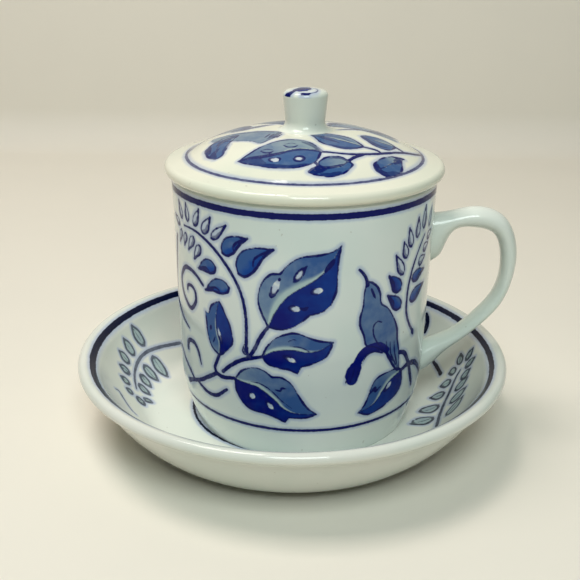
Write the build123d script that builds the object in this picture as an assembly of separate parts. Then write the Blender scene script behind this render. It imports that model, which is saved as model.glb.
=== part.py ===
"""Lidded teacup on a deep saucer, in five pieces of fired porcelain. Sizes are in millimetres.

The origin is the centre of the saucer's foot ring, on the table. +Z is up, and the handle points along +X.
The cup stands a little off the saucer's centre, towards the handle. The lid only rests on the cup.
"""
from build123d import *
from math import cos, exp, pi, radians, sin, sqrt, tan
import os

# Saucer: one even wall, turned up from a flat floor and out again into a rounded lip
saucer_radius = 72.0
saucer_height = 27.4
saucer_wall = 3.6
saucer_floor_height = 5.0
saucer_floor_radius = 46.0
saucer_heel_reach = 8.0
saucer_heel_rise = 3.0
saucer_lip_reach = 5.7
saucer_lip_rise = 3.5
saucer_foot_radius = 41.5
saucer_foot_width = 3.6
saucer_foot_rounding = 0.9

# Cup: a straight wall with a slight taper, a rounded heel and a foot ring
cup_shift = 3.2
cup_rim_radius = 42.1
cup_height = 83.9
cup_taper = 1.1
cup_wall = 3.4
cup_rim_rounding = 1.2
cup_heel_height = 22.0
cup_heel_inset = 2.1
cup_turn_height = 8.5
cup_foot_inset = 4.9
cup_foot_width = 3.6
cup_foot_rounding = 0.6
cup_foot_recess = 1.8
cup_floor = 3.6
cup_bore_bend = 12.0

# Handle: a flattened rod bent into an ear, thickest over the crest, with both ends spread where they are luted on
handle_upper_root = 60.0
handle_upper_rise = 0.77
handle_crest_out = 12.0
handle_crest_height = 68.9
handle_shoulder_out = 21.7
handle_shoulder_height = 66.0
handle_reach = 25.4
handle_reach_height = 54.5
handle_bend_out = 21.7
handle_bend_height = 39.2
handle_elbow_out = 13.5
handle_elbow_height = 30.0
handle_lower_root = 15.8
handle_lower_fall = 0.72
handle_thickness = 4.0
handle_width = 9.2
handle_upper_spread = 11.5
handle_upper_fade = 4.1
handle_lower_spread = 5.2
handle_lower_fade = 8.4
handle_root_widening = 2.0
handle_swell = 2.7
handle_swell_place = 18.0
handle_swell_fade = 19.0
handle_sections = 17
handle_bite = 5.0

# Lid: a low dome inside a rounded brim, with a flange that drops into the cup
lid_overhang = 2.1
lid_edge = 3.7
lid_brim_width = 7.0
lid_brim_slope = 11.0
lid_height = 12.9
lid_wall = 3.4
flange_clearance = 0.8
flange_wall = 3.0
flange_depth = 5.0
flange_rounding = 0.8

# Knob: a short post, a little wider at the top, on a fillet of slip
knob_height = 12.8
knob_neck_radius = 6.3
knob_top_radius = 7.05
knob_fillet = 3.0
knob_crown = 0.6
knob_edge_rounding = 1.1

# Where the pieces stand
cup_place = Pos(cup_shift, 0, saucer_floor_height)
lid_place = Pos(cup_shift, 0, saucer_floor_height + cup_height)
knob_place = Pos(cup_shift, 0, saucer_floor_height + cup_height + lid_height)


def turned(*lines):
    """Solid turned about the upright axis from the lines of a closed outline in (radius, height)."""
    edges = [edge for line in lines for edge in line.edges()]
    return revolve(Plane.XZ * make_face(edges), Axis.Z)


def wall_radius(height):
    """Outer radius of the cup's straight wall at a height above its foot."""
    return cup_rim_radius - (cup_height - height) * tan(radians(cup_taper))


def make_saucer():
    half_wall = saucer_wall / 2
    floor_middle = saucer_floor_height - half_wall
    floor_edge = (saucer_floor_radius, floor_middle)
    heel_end = (saucer_floor_radius + saucer_heel_reach, floor_middle + saucer_heel_rise)
    lip_end = (saucer_radius - half_wall, saucer_height - half_wall)
    lip_start = (saucer_radius - saucer_lip_reach, lip_end[1] - saucer_lip_rise)
    floor_line = Line((-saucer_foot_radius, floor_middle), floor_edge)
    heel_arc = TangentArc(floor_edge, heel_end, tangent=(1, 0))
    wall_arc = TangentArc(heel_end, lip_start, tangent=heel_arc % 1)
    lip_arc = TangentArc(lip_start, lip_end, tangent=wall_arc % 1)
    middle_line = Wire([floor_line, heel_arc, wall_arc, lip_arc])
    section = make_face(offset(middle_line, half_wall).edges())
    section &= Pos(saucer_radius / 2, saucer_height / 2) * Rectangle(saucer_radius, 2 * saucer_height)
    dish = revolve(Plane.XZ * section, Axis.Z)
    foot_inner = saucer_foot_radius - saucer_foot_width
    foot_outline = FilletPolyline(
        (foot_inner, 0),
        (saucer_foot_radius, 0),
        (saucer_foot_radius, floor_middle),
        (foot_inner, floor_middle),
        radius=[saucer_foot_rounding, saucer_foot_rounding, 0, 0],
        close=True,
    )
    return dish + turned(foot_outline)


def cup_outer_lines():
    """Outside of the cup, from the rim's rounding down to the foot."""
    heel_radius = wall_radius(cup_heel_height)
    rim_height = cup_height - cup_rim_rounding
    rim = (wall_radius(rim_height), rim_height)
    heel = (heel_radius, cup_heel_height)
    turn = (heel_radius - cup_heel_inset, cup_turn_height)
    foot = (heel_radius - cup_foot_inset, 0)
    wall_line = Line(rim, heel)
    heel_arc = TangentArc(heel, turn, tangent=wall_line % 1)
    foot_arc = TangentArc(turn, foot, tangent=heel_arc % 1)
    return wall_line, heel_arc, foot_arc


def make_cup_body():
    wall_line, heel_arc, foot_arc = cup_outer_lines()
    rim = wall_line @ 0
    foot = foot_arc @ 1
    foot_inner = foot.X - cup_foot_width
    floor_height = cup_foot_recess + cup_floor
    bore_radius = rim.X - cup_wall
    foot_lines = FilletPolyline(
        foot,
        (foot_inner, 0),
        (foot_inner - cup_foot_recess, cup_foot_recess),
        (0, cup_foot_recess),
        radius=cup_foot_rounding,
    )
    axis_line = Line((0, cup_foot_recess), (0, floor_height))
    bore_lines = FilletPolyline(
        (0, floor_height),
        (wall_radius(floor_height) - cup_wall, floor_height),
        (bore_radius, rim.Y),
        radius=cup_bore_bend,
    )
    land_inner = (bore_radius + cup_rim_rounding, cup_height)
    land_outer = (rim.X - cup_rim_rounding, cup_height)
    inner_lip = TangentArc(land_inner, (bore_radius, rim.Y), tangent=(-1, 0))
    land_line = Line(land_inner, land_outer)
    outer_lip = TangentArc(land_outer, rim, tangent=(1, 0))
    return turned(
        wall_line, heel_arc, foot_arc, foot_lines, axis_line, bore_lines, inner_lip, land_line, outer_lip
    )


def make_cup_handle():
    """Ear lofted through ellipses along its middle line, with its ends cut to the cup's outside."""
    middle_line = Spline(
        (wall_radius(handle_upper_root) - handle_bite, handle_upper_root),
        (cup_rim_radius + handle_crest_out, handle_crest_height),
        (cup_rim_radius + handle_shoulder_out, handle_shoulder_height),
        (cup_rim_radius + handle_reach, handle_reach_height),
        (cup_rim_radius + handle_bend_out, handle_bend_height),
        (cup_rim_radius + handle_elbow_out, handle_elbow_height),
        (wall_radius(handle_lower_root) - handle_bite, handle_lower_root),
        tangents=[(1, handle_upper_rise), (-1, -handle_lower_fall)],
    )
    sections = []
    for index in range(handle_sections):
        along = (1 - cos(pi * index / (handle_sections - 1))) / 2
        from_upper = max(0, along * middle_line.length - handle_bite)
        from_lower = max(0, (1 - along) * middle_line.length - handle_bite)
        upper = exp(-((from_upper / handle_upper_fade) ** 2))
        lower = exp(-((from_lower / handle_lower_fade) ** 2))
        swell = exp(-(((from_upper - handle_swell_place) / handle_swell_fade) ** 2))
        spread = handle_upper_spread * upper + handle_lower_spread * lower
        thickness = handle_thickness + handle_swell * swell + spread
        width = handle_width + handle_root_widening * (upper + lower)
        point = middle_line @ along
        heading = middle_line % along
        plane = Plane(origin=(point.X, 0, point.Y), x_dir=(0, 1, 0), z_dir=(heading.X, 0, heading.Y))
        sections.append(plane * Ellipse(width / 2, thickness / 2))
    wall_line, heel_arc, foot_arc = cup_outer_lines()
    rim = wall_line @ 0
    foot = foot_arc @ 1
    closing_lines = Polyline(foot, (0, foot.Y), (0, rim.Y), rim)
    return loft(sections) - turned(wall_line, heel_arc, foot_arc, closing_lines)


def make_lid():
    lid_radius = cup_rim_radius + lid_overhang
    edge_radius = lid_edge / 2
    edge_middle = Vector(lid_radius - edge_radius, edge_radius)
    slope = radians(lid_brim_slope)
    brim_top = edge_middle + Vector(sin(slope), cos(slope)) * edge_radius
    ring_radius = lid_radius - lid_brim_width
    ring = Vector(ring_radius, brim_top.Y + (brim_top.X - ring_radius) * tan(slope))
    land = Vector(knob_neck_radius + knob_fillet, lid_height)
    seat_edge = (edge_middle.X, 0)
    edge_arc = ThreePointArc(seat_edge, (lid_radius, edge_radius), brim_top)
    brim_line = Line(brim_top, ring)
    dome_arc = TangentArc(land, ring, tangent=(1, 0))
    land_line = Line(land, (0, lid_height))

    def ceiling(radius):
        """Point of the underside, one wall inside the dome."""
        centre = dome_arc.arc_center
        inner = dome_arc.radius - lid_wall
        return (radius, centre.Y + sqrt(inner**2 - (radius - centre.X) ** 2))

    flange_outer = cup_rim_radius - cup_wall - flange_clearance
    flange_inner = flange_outer - flange_wall
    ceiling_top = ceiling(land.X)
    ceiling_arc = ThreePointArc(ceiling_top, ceiling((land.X + flange_inner) / 2), ceiling(flange_inner))
    axis_lines = Polyline((0, lid_height), (0, ceiling_top[1]), ceiling_top)
    flange_lines = FilletPolyline(
        ceiling(flange_inner),
        (flange_inner, -flange_depth),
        (flange_outer, -flange_depth),
        (flange_outer, 0),
        seat_edge,
        radius=[flange_rounding, flange_rounding, 0],
    )
    return turned(edge_arc, brim_line, dome_arc, land_line, axis_lines, ceiling_arc, flange_lines)


def make_lid_knob():
    edge_height = knob_height - knob_crown
    crown_arc = TangentArc((0, knob_height), (knob_top_radius - knob_edge_rounding, edge_height), tangent=(1, 0))
    side_top = (knob_top_radius, edge_height - knob_edge_rounding)
    edge_arc = TangentArc(crown_arc @ 1, side_top, tangent=crown_arc % 1)
    side_line = Line(side_top, (knob_neck_radius, knob_fillet))
    fillet_arc = TangentArc(side_line @ 1, (knob_neck_radius + knob_fillet, 0), tangent=side_line % 1)
    closing_lines = Polyline(fillet_arc @ 1, (0, 0), (0, knob_height))
    return turned(crown_arc, edge_arc, side_line, fillet_arc, closing_lines)


pieces = {
    "saucer": make_saucer(),
    "cup_body": cup_place * make_cup_body(),
    "cup_handle": cup_place * make_cup_handle(),
    "lid": lid_place * make_lid(),
    "lid_knob": knob_place * make_lid_knob(),
}

os.makedirs("parts", exist_ok=True)
for name, piece in pieces.items():
    export_step(piece, f"parts/{name}.step")
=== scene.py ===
"""Lidded teacup in glazed porcelain with cobalt brushwork, on a pale studio floor.

The turned pieces are lathed again in the sizes of their solids, finely enough for the brushwork, and stand
for them. The handle stays the solid itself. Sections and brushwork are in millimetres, the scene in metres.
"""
import math

import bpy
import numpy as np
from mathutils import Matrix, Vector


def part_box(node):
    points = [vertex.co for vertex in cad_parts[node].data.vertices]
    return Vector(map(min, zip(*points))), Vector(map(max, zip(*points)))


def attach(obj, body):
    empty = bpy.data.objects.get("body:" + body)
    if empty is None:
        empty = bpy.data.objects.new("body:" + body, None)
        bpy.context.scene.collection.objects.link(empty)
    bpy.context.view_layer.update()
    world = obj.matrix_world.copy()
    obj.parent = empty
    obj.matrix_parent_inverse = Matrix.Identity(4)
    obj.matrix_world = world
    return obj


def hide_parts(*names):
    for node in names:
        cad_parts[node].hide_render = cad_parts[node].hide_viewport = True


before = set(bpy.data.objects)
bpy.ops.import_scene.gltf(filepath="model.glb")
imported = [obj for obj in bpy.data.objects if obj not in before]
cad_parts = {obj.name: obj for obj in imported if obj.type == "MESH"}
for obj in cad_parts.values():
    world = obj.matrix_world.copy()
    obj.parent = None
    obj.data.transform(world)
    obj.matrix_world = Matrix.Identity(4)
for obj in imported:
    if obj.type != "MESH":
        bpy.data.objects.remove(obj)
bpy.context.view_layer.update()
mm = 0.001

# Camera, fitted to the lip, rim, lid and foot ellipses
camera_distance = 0.28577
camera_height = 0.16035
camera_pitch = 0.37606
camera_yaw = -0.003406
camera_roll = 0.010453
camera_lens = 56.93
camera_sensor = 36.0
camera_near = 0.01

# Turned sections, as in the solids, apart from a softer edge on the knob
cup_taper = math.radians(1.1)
cup_wall = 3.4
cup_rim_rounding = 1.2
cup_heel_height = 22.0
cup_heel_inset = 2.1
cup_turn_height = 8.5
cup_foot_inset = 4.9
cup_foot_width = 3.6
cup_foot_recess = 1.8
cup_floor = 3.6
cup_bore_bend = 12.0
saucer_wall = 3.6
saucer_floor_radius = 46.0
saucer_heel_reach = 8.0
saucer_heel_rise = 3.0
saucer_lip_reach = 5.7
saucer_lip_rise = 3.5
saucer_foot_radius = 41.5
saucer_foot_width = 3.6
saucer_foot_rounding = 0.9
lid_edge = 3.7
lid_brim_width = 7.0
lid_brim_slope = math.radians(11.0)
lid_wall = 3.4
flange_clearance = 0.8
flange_wall = 3.0
flange_depth = 5.0
flange_rounding = 0.8
knob_neck_radius = 6.3
knob_top_radius = 7.05
knob_fillet = 3.0
knob_crown = 0.6
knob_edge_rounding = 1.5

# Mesh steps along a section, from tight bends and painted faces to hidden ones, and columns round a piece
tiny = 0.25
fine = 0.4
knob_step = 0.5
well_step = 1.0
plain = 1.2
coarse = 3.0
ceiling_points = 24
cup_columns = 660
lid_columns = 620
knob_columns = 200
saucer_columns = 720

# Painted bands: a tone over 1 keeps its full colour where grain thins the paint
band_height = 80.8
band_width = 1.9
band_tone = 1.3
foot_line_height = 11.8
foot_line_width = 1.1
foot_line_tone = 1.2
lid_ring_width = 1.0
lid_ring_tone = 0.85
saucer_band_inset = 4.8
saucer_band_width = 1.75
saucer_band_swell = 0.2
well_ring_radius = 34.2
well_ring_width = 1.1
well_ring_tone = 1.1

# Maps for baking, in shares of the map: a disc over a strip, or two panels of the cup's wall under a strip
disc_reach = 0.36
disc_height = 0.63
strip_low = 0.02
strip_height = 0.22
panel_low = 0.01
panel_height = 0.43
panel_step = 0.44
inside_low = 0.89
inside_height = 0.1

# Stage, in metres, its lamps and its air
stage_width = 3.0
stage_front = -1.2
stage_back = 0.42
stage_bend = 0.03
stage_bend_steps = 12
stage_top = 1.2
lamp_aim = (0, 0, 0.05)
lamp_size = 0.36
air_colour = (0.97, 0.98, 1.0, 1)
air_strength = 0.06


class Section:
    """Half section of a turned piece: points of (radius, height) drawn from one end to the other."""

    def __init__(self, radius, height):
        self.points = [np.array((radius, height), float)]
        self.heading = np.array((1.0, 0.0))

    @property
    def length(self):
        return np.hypot(*np.diff(self.points, axis=0).T).sum()

    def line(self, radius, height, step=plain):
        start = self.points[-1]
        reach = np.array((radius, height), float) - start
        length = np.hypot(*reach)
        count = max(1, math.ceil(length / step))
        self.points += [start + reach * index / count for index in range(1, count + 1)]
        self.heading = reach / length

    def arc(self, radius, height, step=tiny):
        """Arc that leaves along the last direction."""
        start = self.points[-1]
        reach = np.array((radius, height), float) - start
        chord = np.hypot(*reach)
        side = self.heading[0] * reach[1] - self.heading[1] * reach[0]
        bow = math.atan2(side, self.heading @ reach)
        count = max(3, math.ceil(chord / step))
        for index in range(1, count + 1):
            turn = bow * index / count
            self.points.append(start + turned(self.heading, turn) * chord * math.sin(turn) / math.sin(bow))
        self.heading = turned(self.heading, 2 * bow)


def turned(direction, angle):
    """Direction in the plane, turned anticlockwise."""
    cosine, sine = math.cos(angle), math.sin(angle)
    across, up = direction
    return np.array((across * cosine - up * sine, across * sine + up * cosine))


class Brushwork:
    """Paint on a flat sheet of spots, in millimetres. Each paint is kept as the distance to its edge,
    negative inside, with a tone from 0, thin, to 1, full."""

    paints = ("line", "deep", "wash")
    # Place of spots that take no paint, distance where none is near, and reach round a shape and an eye
    off_sheet = 999.0
    unpainted = 8.0
    margin = 2.5
    eye_margin = 1.0
    eye_line_width = 0.6
    # Shares of a leaf's length at which its tones hold and its pale strip ends, the tones' change over its
    # length, and its rib's width as a share of its outline's
    tone_place = 0.4
    glow_end = 0.82
    tone_change = 0.6
    rib_share = 0.72

    def __init__(self, across, up, painted):
        self.painted = painted
        self.spots = np.column_stack((np.where(painted, across, self.off_sheet), up))
        self.edge = {paint: np.full(len(across), self.unpainted) for paint in self.paints}
        self.tone = {paint: np.ones(len(across)) for paint in self.paints}

    def near(self, points, reach):
        """Indices of the spots in the box around the points."""
        low = np.min(points, axis=0) - reach
        high = np.max(points, axis=0) + reach
        return np.flatnonzero(((self.spots > low) & (self.spots < high)).all(1))

    def lay(self, paint, near, edge, tone):
        """Adds an area of paint, whose tone holds where it is the nearest one."""
        nearest = edge < self.edge[paint][near]
        self.edge[paint][near] = np.where(nearest, edge, self.edge[paint][near])
        self.tone[paint][near] = np.where(nearest, tone, self.tone[paint][near])

    def ring(self, distance, width, tone):
        """Turned band: distance holds each spot's distance from the band's middle."""
        distance = np.where(self.painted, np.abs(distance), self.off_sheet)
        self.lay("line", slice(None), distance - width / 2, tone)

    def stroke(self, points, width, ends=(0.6, 0.5), tone=1.0, paint="line"):
        """Brush line through the points, drawn out at each end to a share of its width."""
        path = curve(points)
        near = self.near(path, self.margin + width)
        gap, along = measure(self.spots[near], path)
        thinning = np.interp(along, (0, 0.25, 0.7, 1), (ends[0], 1, 1, ends[1]))
        self.lay(paint, near, gap - width / 2 * thinning, tone)

    def strokes(self, *rows):
        """Brush lines, each a row of what stroke takes."""
        for row in rows:
            self.stroke(*row)

    def outline(self, near, gap, along, width, swell, waves):
        """Line along an edge, which swells and thins on its way."""
        self.lay("line", near, gap - width / 2 * (1 + swell * np.sin(along * waves)), 1.0)

    def patch(self, points, tone, line_width):
        """Closed area of wash with a smooth edge through the points."""
        path = curve(points, closed=True)
        near = self.near(path, self.margin)
        gap, along = measure(self.spots[near], path)
        self.lay("wash", near, np.where(enclosed(self.spots[near], path), -gap, gap), tone)
        self.outline(near, gap, along, line_width, 0.3, 25)

    def leaf(self, base, tip, *sides, tones=(0.8, 0.75), glow=1.2, line_width=0.62):
        """Leaf in two tones. Its pale side, dark side and the rib between them run from base to tip
        through their points. The pale half thins out towards the rib, and the dark paint on the other half,
        if it has a tone, fades towards the tip."""
        pale_side, dark_side, rib = (leaf_side(base, tip, points) for points in sides)
        near = self.near(np.vstack((pale_side, dark_side)), self.margin)
        spots = self.spots[near]
        pale_gap, pale_along = measure(spots, pale_side)
        dark_gap, dark_along = measure(spots, dark_side)
        rib_gap, along = measure(spots, rib)
        in_pale = enclosed(spots, np.vstack((pale_side, rib[::-1])))
        in_dark = enclosed(spots, np.vstack((dark_side, rib[::-1])))
        leaf_edge = np.minimum(pale_gap, dark_gap)
        dark_edge = np.minimum(dark_gap, rib_gap)
        strip = glow * np.sin(math.pi * np.clip(along / self.glow_end, 0.05, 1) ** 0.8) + 0.05
        thin = np.exp(-((rib_gap / strip) ** 4))
        pale_tone, dark_tone = tones
        change = self.tone_change * (along - self.tone_place)
        wash_tone = np.where(in_dark, 1.0, pale_tone + change - thin)
        self.lay("wash", near, np.where(in_pale | in_dark, -leaf_edge, leaf_edge), wash_tone)
        if dark_tone is not None:
            self.lay("deep", near, np.where(in_dark, -dark_edge, dark_edge), dark_tone - change)
        self.outline(near, pale_gap, pale_along, line_width, 0.35, 17)
        self.outline(near, dark_gap, dark_along, line_width, 0.35, 23)
        self.lay("line", near, rib_gap - line_width * self.rib_share / 2, 0.9)

    def eye(self, centre, length, width, tilt=0.0, outlined=False):
        """White spot in a leaf, with its long way tilted by an angle in degrees."""
        near = self.near((centre,), length + self.eye_margin)
        offset = self.spots[near] - centre
        along = offset @ turned((1.0, 0.0), math.radians(tilt))
        across = offset @ turned((0.0, 1.0), math.radians(tilt))
        spot = (np.hypot(along / length, across / width) - 1) * width
        for paint in ("deep", "wash"):
            self.edge[paint][near] = np.maximum(self.edge[paint][near], -spot)
        shade = np.abs(spot) - self.eye_line_width / 2
        if not outlined:
            shade = np.maximum(shade, along)
        self.lay("line", near, shade, 0.95)

    def leaflet(self, base, tip, width, fill=0.0, filled=False, curl=0.0,
                tone=1.0, belly=0.36, sides=(0.28, 0.45)):
        """Small leaf of a frond, in an outline whose upper and lower side have their own half widths. fill
        is the tone of its wash, filled adds dark paint to its lower side, curl bows it left by a share
        of its length, and belly is the share of its length at which it is widest."""
        base = np.array(base, float)
        axis = np.array(tip, float) - base
        normal = turned(axis, math.pi / 2) / np.hypot(*axis)
        bow = turned(axis, math.pi / 2) * curl

        def at(along, across):
            return base + axis * along + normal * across * width / 2 + bow * 4 * along * (1 - along)

        upper = 1 if normal[1] > 0 else -1
        round_base = 0.28 * belly
        taper = (1 + belly) / 2
        full, lean = (
            curve((base, at(round_base, way * 0.7), at(belly, way), at(taper, way * late), base + axis))
            for way, late in ((upper, 0.3 + belly), (-upper, 1.4 * belly))
        )
        near = self.near(np.vstack((full, lean)), self.margin)
        full_gap, along = measure(self.spots[near], full)
        lean_gap, _ = measure(self.spots[near], lean)
        inside = enclosed(self.spots[near], np.vstack((full, lean[::-1])))
        edge = np.where(inside, -1, 1) * np.minimum(full_gap, lean_gap)
        across = (self.spots[near] - base) @ normal / width * upper
        if fill:
            self.lay("wash", near, edge, fill)
        if filled:
            self.lay("deep", near, edge, fill - 1.25 + 0.3 * along - 1.9 * across)
            fold = (base + axis, at(0.72, -upper * 0.1), at(0.52, -upper * 0.2), at(0.4, -upper * 0.6))
            self.stroke(fold, 0.8, ends=(0.5, 0.6))
        elif fill:
            self.stroke((base, at(0.4, 0), at(0.8, 0)), 0.5, tone=tone * 0.7)
        else:
            dab = (at(0.1, 0), at(0.3, -upper * 0.5), at(0.65, -upper * 0.25))
            self.stroke(dab, 0.9, ends=(0.8, 0.4), tone=0.6)
        self.lay("line", near, full_gap - sides[0], tone)
        self.lay("line", near, lean_gap - sides[1], tone)

    def frond(self, stem, width, filled, outlined, tone=1.0, **style):
        """Curved stem with leaflets along it, each given as its base, tip, width and, if filled, its curl
        and the tone of its wash."""
        self.stroke(stem, width, ends=(1, 0.6), tone=tone)
        for base, tip, leaf_width, curl, fill in filled:
            self.leaflet(base, tip, leaf_width, fill, True, curl)
        for base, tip, leaf_width in outlined:
            self.leaflet(base, tip, leaf_width, tone=tone, **style)

    def store(self, mesh):
        """Writes every paint's edge and tone to the mesh's points."""
        for paint in self.paints:
            for kind, values in (("edge", self.edge[paint]), ("tone", self.tone[paint])):
                store_values(mesh, f"{paint}_{kind}", values)
        store_values(mesh, "paint_edge", np.min(list(self.edge.values()), axis=0))


def store_values(mesh, name, values):
    attribute = mesh.attributes.new(name, "FLOAT", "POINT")
    attribute.data.foreach_set("value", values.astype(np.float32))


def curve(points, closed=False, steps=8):
    """Smooth line through the points, as an array of close points."""
    points = np.array(points, float)
    if closed:
        ring = np.vstack((points[-1:], points, points[:2]))
    else:
        ring = np.vstack((2 * points[0] - points[1], points, 2 * points[-1] - points[-2]))
    share = np.linspace(0, 1, steps, endpoint=False)[:, None]
    runs = []
    for before, start, end, after in zip(ring, ring[1:], ring[2:], ring[3:]):
        rise = end - before
        fall = 2 * before - 5 * start + 4 * end - after
        twist = 3 * start - before - 3 * end + after
        runs.append(start + 0.5 * share * (rise + share * (fall + share * twist)))
    runs.append(ring[-2:-1])
    return np.vstack(runs)


def leaf_side(base, tip, points):
    """A leaf's side or rib from base to tip, smooth but for a corner at each point given twice."""
    points = np.array((base, *points, tip), float)
    corners = np.flatnonzero((points[1:] == points[:-1]).all(1)) + 1
    return np.vstack([curve(run) for run in np.split(points, corners)])


def measure(spots, path):
    """Distance from each spot to the path, and the share of the path's length at its nearest point."""
    lengths = np.hypot(*np.diff(path, axis=0).T)
    starts = np.concatenate(((0.0,), np.cumsum(lengths)))
    nearest = np.full(len(spots), np.inf)
    along = np.zeros(len(spots))
    for start, end, length, before in zip(path, path[1:], lengths, starts):
        run = end - start
        share = np.clip((spots - start) @ run / max(length, 1e-9) ** 2, 0, 1)
        gap = np.hypot(*(spots - start - share[:, None] * run).T)
        closer = gap < nearest
        nearest = np.where(closer, gap, nearest)
        along = np.where(closer, before + share * length, along)
    return nearest, along / starts[-1]


def enclosed(spots, path):
    """Whether each spot lies inside the closed path."""
    inside = np.zeros(len(spots), bool)
    for start, end in zip(path, np.roll(path, -1, axis=0)):
        crosses = (start[1] > spots[:, 1]) != (end[1] > spots[:, 1])
        rise = end[1] - start[1] if end[1] != start[1] else 1e-9
        meets = start[0] + (spots[:, 1] - start[1]) / rise * (end[0] - start[0])
        inside ^= crosses & (spots[:, 0] < meets)
    return inside


class Lathed:
    """Closed piece of a section turned about the upright line through centre, which is in metres. The
    columns run anticlockwise from +X, and both ends of the section lie on the axis. Each point's angle,
    place along the section, radius and height are kept, in radians and millimetres."""

    def __init__(self, name, section, centre, columns):
        points = np.array(section.points)
        places = np.concatenate(((0.0,), np.cumsum(np.hypot(*np.diff(points, axis=0).T))))
        rings = len(points) - 2
        turn = np.arange(columns) / columns
        self.columns = columns
        self.ring_places = places[1:-1]
        self.length = places[-1]
        self.angle = np.append(np.tile(turn * 2 * math.pi, rings), (0.0, 0.0))
        self.place = np.append(np.repeat(self.ring_places, columns), places[[0, -1]])
        self.radius = np.append(np.repeat(points[1:-1, 0], columns), (0.0, 0.0))
        self.height = np.append(np.repeat(points[1:-1, 1], columns), points[[0, -1], 1])
        spots = np.column_stack((*self.plan(self.radius), self.height))
        index = np.arange(rings * columns).reshape(rings, columns)
        after = np.roll(index, -1, axis=1)
        faces = np.stack((index[:-1], index[1:], after[1:], after[:-1]), -1).reshape(-1, 4).tolist()
        first, last = len(spots) - 2, len(spots) - 1
        faces += [(first, here, there) for here, there in zip(index[0], after[0])]
        faces += [(last, there, here) for here, there in zip(index[-1], after[-1])]
        self.mesh = bpy.data.meshes.new(name)
        self.mesh.from_pydata((spots * mm + np.array(centre)).tolist(), [], faces)
        self.mesh.shade_smooth()
        self.piece = bpy.data.objects.new(name, self.mesh)
        bpy.context.scene.collection.objects.link(self.piece)

    def plan(self, reach):
        """Each point's place across and up the plan, at a reach from the axis."""
        return reach * np.cos(self.angle), reach * np.sin(self.angle)

    def mark_foot(self, start, end):
        """Stores each point's distance along the section to the foot's standing ring, negative on it."""
        store_values(self.mesh, "foot_edge", np.maximum(start - self.place, self.place - end))

    def unwrap(self, chart):
        """Map for baking: chart gives the map's two coordinates from a corner's place and share of a turn,
        and the same two of its face."""
        rings = self.ring_places
        turn = np.arange(self.columns) / self.columns
        step = 1 / self.columns
        row = np.repeat(np.arange(len(rings) - 1), self.columns)
        column = np.tile(turn, len(rings) - 1)
        place = np.stack((rings[row], rings[row + 1], rings[row + 1], rings[row]), -1)
        share = np.stack((column, column, column + step, column + step), -1)
        corners = [(place, share)]
        for end, ring, order in ((0.0, rings[0], (0, 1)), (self.length, rings[-1], (1, 0))):
            place = np.tile((end, ring, ring), (self.columns, 1))
            share = np.stack((turn + step / 2, turn + step * order[0], turn + step * order[1]), -1)
            corners.append((place, share))
        maps = []
        for place, share in corners:
            face = (place.mean(1, keepdims=True), share.mean(1, keepdims=True))
            maps.append(np.stack(chart(place, share, *face), -1).reshape(-1, 2))
        layer = self.mesh.uv_layers.new(name="OFBake")
        layer.data.foreach_set("uv", np.vstack(maps).astype(np.float32).ravel())


def disc_chart(rim_place, length):
    """Chart with a round map of the section up to rim_place, and a strip below it for the rest."""

    def chart(place, share, face_place, face_share):
        top = face_place < rim_place
        reach = disc_reach * place / rim_place
        rest = strip_low + strip_height * (place - rim_place) / (length - rim_place)
        across = np.where(top, 0.5 + reach * np.cos(2 * math.pi * share), share)
        up = np.where(top, disc_height + reach * np.sin(2 * math.pi * share), rest)
        return across, up

    return chart


def box_of(node):
    """A turned node's axis at its base, in metres, and its radius and height in millimetres."""
    low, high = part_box(node)
    centre = Vector(((low.x + high.x) / 2, (low.y + high.y) / 2, low.z))
    return centre, (high.x - low.x) / 2 / mm, (high.z - low.z) / mm


class Wire:
    """An output of a finish's nodes. Arithmetic with it adds Math nodes."""

    def __init__(self, finish, socket):
        self.finish = finish
        self.socket = socket

    def math(self, operation, first, second):
        return self.finish.add("ShaderNodeMath", {"operation": operation}, {0: first, 1: second})

    def __add__(self, other):
        return self.math("ADD", self, other)

    def __sub__(self, other):
        return self.math("SUBTRACT", self, other)

    def __rsub__(self, other):
        return self.math("SUBTRACT", other, self)

    def __mul__(self, other):
        return self.math("MULTIPLY", self, other)

    __radd__ = __add__
    __rmul__ = __mul__


class Finish:
    """A material and its nodes."""

    def __init__(self, name):
        self.material = bpy.data.materials.new(name)
        self.material.use_nodes = True
        self.tree = self.material.node_tree
        self.shader = self.tree.nodes["Principled BSDF"]

    def add(self, kind, settings, sockets, output=0):
        """New node: settings are its properties, sockets its inputs' values or wires."""
        node = self.tree.nodes.new(kind)
        for key, value in settings.items():
            setattr(node, key, value)
        self.fill(node, sockets)
        return Wire(self, node.outputs[output])

    def fill(self, node, sockets):
        for key, value in sockets.items():
            if isinstance(value, Wire):
                self.tree.links.new(value.socket, node.inputs[key])
            else:
                node.inputs[key].default_value = value

    def mix(self, share, first, second):
        """Colour between two colours."""
        return self.add("ShaderNodeMix", {"data_type": "RGBA"}, {0: share, 6: first, 7: second}, 2)

    def soften(self, value, low, high):
        """1 below low, 0 above high, and smooth between them."""
        settings = {"interpolation_type": "SMOOTHSTEP"}
        return self.add("ShaderNodeMapRange", settings, {0: value, 1: low, 2: high, 3: 1.0, 4: 0.0})

    def field(self, name):
        """A mesh's own values, stored at its points."""
        return self.add("ShaderNodeAttribute", {"attribute_name": name}, {}, "Fac")

    def noise(self, place, size, detail=2.0):
        """Even noise from 0 to 1, with features of a size in millimetres."""
        sockets = {"Vector": place, "Scale": 1 / (size * mm), "Detail": detail}
        return self.add("ShaderNodeTexNoise", {}, sockets)


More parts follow.
